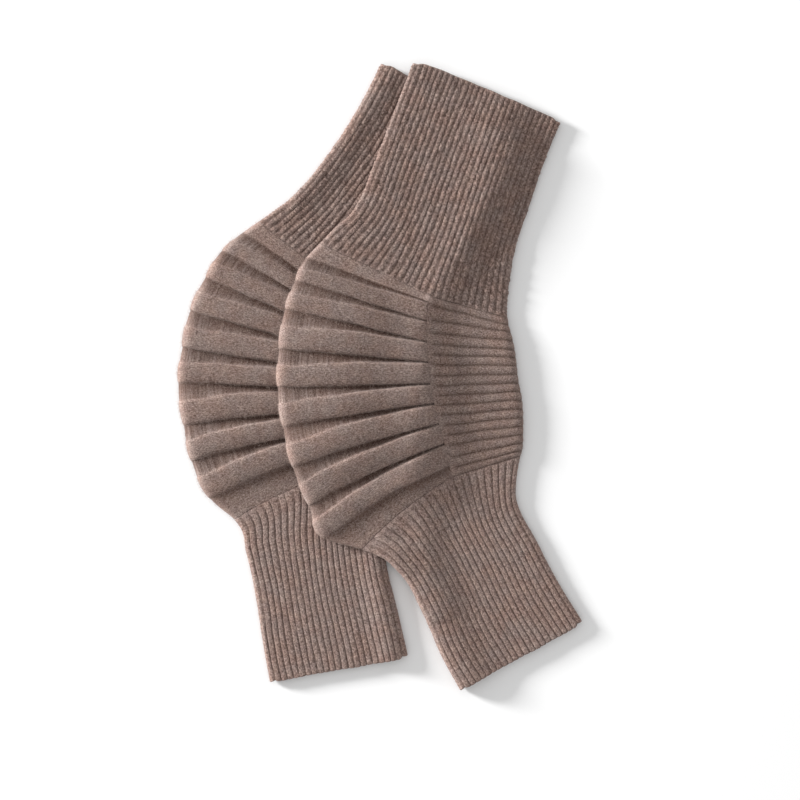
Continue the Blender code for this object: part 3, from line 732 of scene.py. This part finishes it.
# Backs of the knee. Between the side seam and the back fold the same courses are drawn in to
# seventeen fine ribs that run across the leg, about 6.5 mm apart, and take up the slack.

BACK_RIBS = 17
BACK_RIB_HEIGHT = 1.0
BACK_RIB_END = 6.0      # how soon a rib rises from the side seam
# how much painted shade darkens the grooves between the fine ribs
BACK_GROOVE_SHADE = 0.65


def back_rows(leg):
    start = leg.stations[THIGH_SEAM] + SEAM_GAP / 2
    end = leg.stations[CALF_SEAM] - SEAM_GAP / 2
    rows = [(start, 0, 1.1, 0.5, 0, 0), (start + 0.02, 0, 0, 1, 0, 0)]
    for rib in range(BACK_RIBS):
        for phase in (0.0, 0.08, 0.2, 0.35, 0.5, 0.65, 0.8, 0.92):
            if rib + phase > 0:
                at = start + (end - start) * (rib + phase) / BACK_RIBS
                rows.append((at, 1 - abs(2 * phase - 1) ** 2.4, 0, 1, rib, phase))
    rows += [(end - 0.02, 0, 0, 1, 0, 0), (end, 0, 1.1, 0.5, 0, 0)]
    rows += [(end - 0.4, 0, 1.9, 0.1, 0, 0)]
    rows += [(s, 0, WALL, 0, 0, 0) for s in np.linspace(end - 1.5, start + 1.5, 12)]
    rows += [(start + 0.4, 0, 1.9, 0.1, 0, 0), (start, 0, 1.1, 0.5, 0, 0)]
    return record("station,ridge,sunk,outer,rib,phase,length", [(*row, row[0]) for row in rows])


def back_columns():
    turns = [2.0006, *np.linspace(2.006, 2.1, 5, endpoint=False),
             *np.linspace(2.1, 3.0, 26, endpoint=False),
             *np.linspace(3.0, 4.0, 10, endpoint=False), *np.linspace(4.0, 4.9994, 5)]
    return record("turn,width", [(turn, 60 * (turn - 2)) for turn in turns])


def back_place(leg):
    def place(column, row):
        back = leg.widths(row.station)[1]
        from_seam = np.where(column.turn < 3, (column.turn - 2) * (back - 6), 50)
        apart = smooth_step(from_seam / BACK_RIB_END)
        height = SEAM_HEIGHT + (BACK_RIB_HEIGHT * row.ridge - SEAM_HEIGHT) * apart
        raised = row.outer * height
        station = row.station + 0.35 * np.sin(column.turn * 9 + row.rib) * row.outer
        points = leg.surface(station, column.turn, raised, row.sunk)
        # painted highlight along the upper flank of each rib, and a little paler near the side
        # seam
        light = 0.12 * bell((row.phase - 0.2) / 0.12) + 0.03 * bell(from_seam / 16)
        # painted shade: the grooves between the ribs are darkened
        groove = BACK_GROOVE_SHADE * (1 - row.ridge) * apart
        return points, groove * row.outer, light * row.outer

    return place


fine_rib = wool("fine_rib_wool", dark="#55463F", middle="#836F67", light="#A5928A",
                recess_shade="#423129", sheen=0.25, along=1.2, across=0.6)
for name, leg in LEGS:
    place = back_place(leg)
    piece = knit(f"{name}_knee_back_knit", back_columns(), back_rows(leg), place, fine_rib)
    fuzz = nap(piece, f"{name}_knee_back_nap", per_square_mm=0.9, length=2.4, seed=41,
               material=loose_wool)
    dress(piece, fuzz, node=f"{name}_knee_back")

# Calf cuffs. The same 1x1 rib as the thigh cuffs, at 4.6 mm a rib and 2.3 mm a row, flatter and
# with thin grooves. Its hem isn't bound off, so each rib ends in a small round tooth.

calf_rib = wool("calf_rib_wool", dark="#5D4C45", middle="#86726A", light="#A7928A",
                recess_shade="#45332C", sheen=0.2, along=0.5, across=1.1)
CALF_STITCH = 2.3
for name, leg in LEGS:
    calf_start = leg.stations[CALF_SEAM] + SEAM_GAP / 2
    calf_end = leg.stations[-1]
    rows = cuff_rows(calf_start, calf_end, CALF_STITCH / 4, calf_start)
    place = cuff_place(leg, seed=23, hem=calf_end, seam=calf_start, seam_fade=8.0, teeth=0.8,
                       bound=False, ridge_width=5.0, rib_depth=0.85, stitch_length=CALF_STITCH,
                       stitch_depth=0.14, uneven=0.03)
    columns = rib_columns(ribs=21, pitch=4.6)
    piece = knit(f"{name}_calf_cuff_knit", columns, rows, place, calf_rib)
    fuzz = nap(piece, f"{name}_calf_cuff_nap", per_square_mm=0.6, length=2.2, seed=43,
               material=loose_wool)
    dress(piece, fuzz, node=f"{name}_calf_cuff")

# Floor, light and camera: a white table seen from straight above, with a broad light low on the
# upper left and soft light from all round.

bm = bmesh.new()
bmesh.ops.create_grid(bm, x_segments=1, y_segments=1, size=2.0)
bmesh.ops.translate(bm, verts=bm.verts[:], vec=(0, 0, -0.0004))
floor_mesh = bpy.data.meshes.new("floor")
bm.to_mesh(floor_mesh)
bm.free()
floor = bpy.data.objects.new("floor", floor_mesh)
bpy.context.collection.objects.link(floor)
# Uncoated white paper: no gloss, and a shadow on it stays clean and neutral.
paper = bpy.data.materials.new("matte_white_paper")
paper.use_nodes = True
paper_shader = paper.node_tree.nodes["Principled BSDF"]
paper_shader.inputs["Base Color"].default_value = (*linear("#F3F3F3"), 1)
paper_shader.inputs["Roughness"].default_value = 1.0
paper_shader.inputs["Specular IOR Level"].default_value = 0.0
floor_mesh.materials.append(paper)

world = bpy.data.worlds.new("soft_room")
bpy.context.scene.world = world
world.use_nodes = True
world.node_tree.nodes["Background"].inputs["Color"].default_value = (1.0, 1.0, 1.0, 1)
world.node_tree.nodes["Background"].inputs["Strength"].default_value = 0.7

softbox_light = bpy.data.lights.new("softbox", "AREA")
softbox_light.shape = "RECTANGLE"
softbox_light.size = 1.1
softbox_light.size_y = 1.1
softbox_light.energy = 690.0
softbox = bpy.data.objects.new("softbox", softbox_light)
bpy.context.collection.objects.link(softbox)
softbox.location = (-5.37, 2.17, 1.55)
aim = -softbox.location
softbox.rotation_mode = "QUATERNION"
softbox.rotation_quaternion = aim.to_track_quat("-Z", "Y")

camera_data = bpy.data.cameras.new("camera")
camera_data.sensor_width = 36.0
camera_data.lens = 150.0
camera = bpy.data.objects.new("camera", camera_data)
bpy.context.collection.objects.link(camera)
camera.location = (0.01497, -0.0175, 2.5)  # over the middle of the photo's frame
bpy.context.scene.camera = camera
bpy.context.scene.view_settings.view_transform = "Standard"
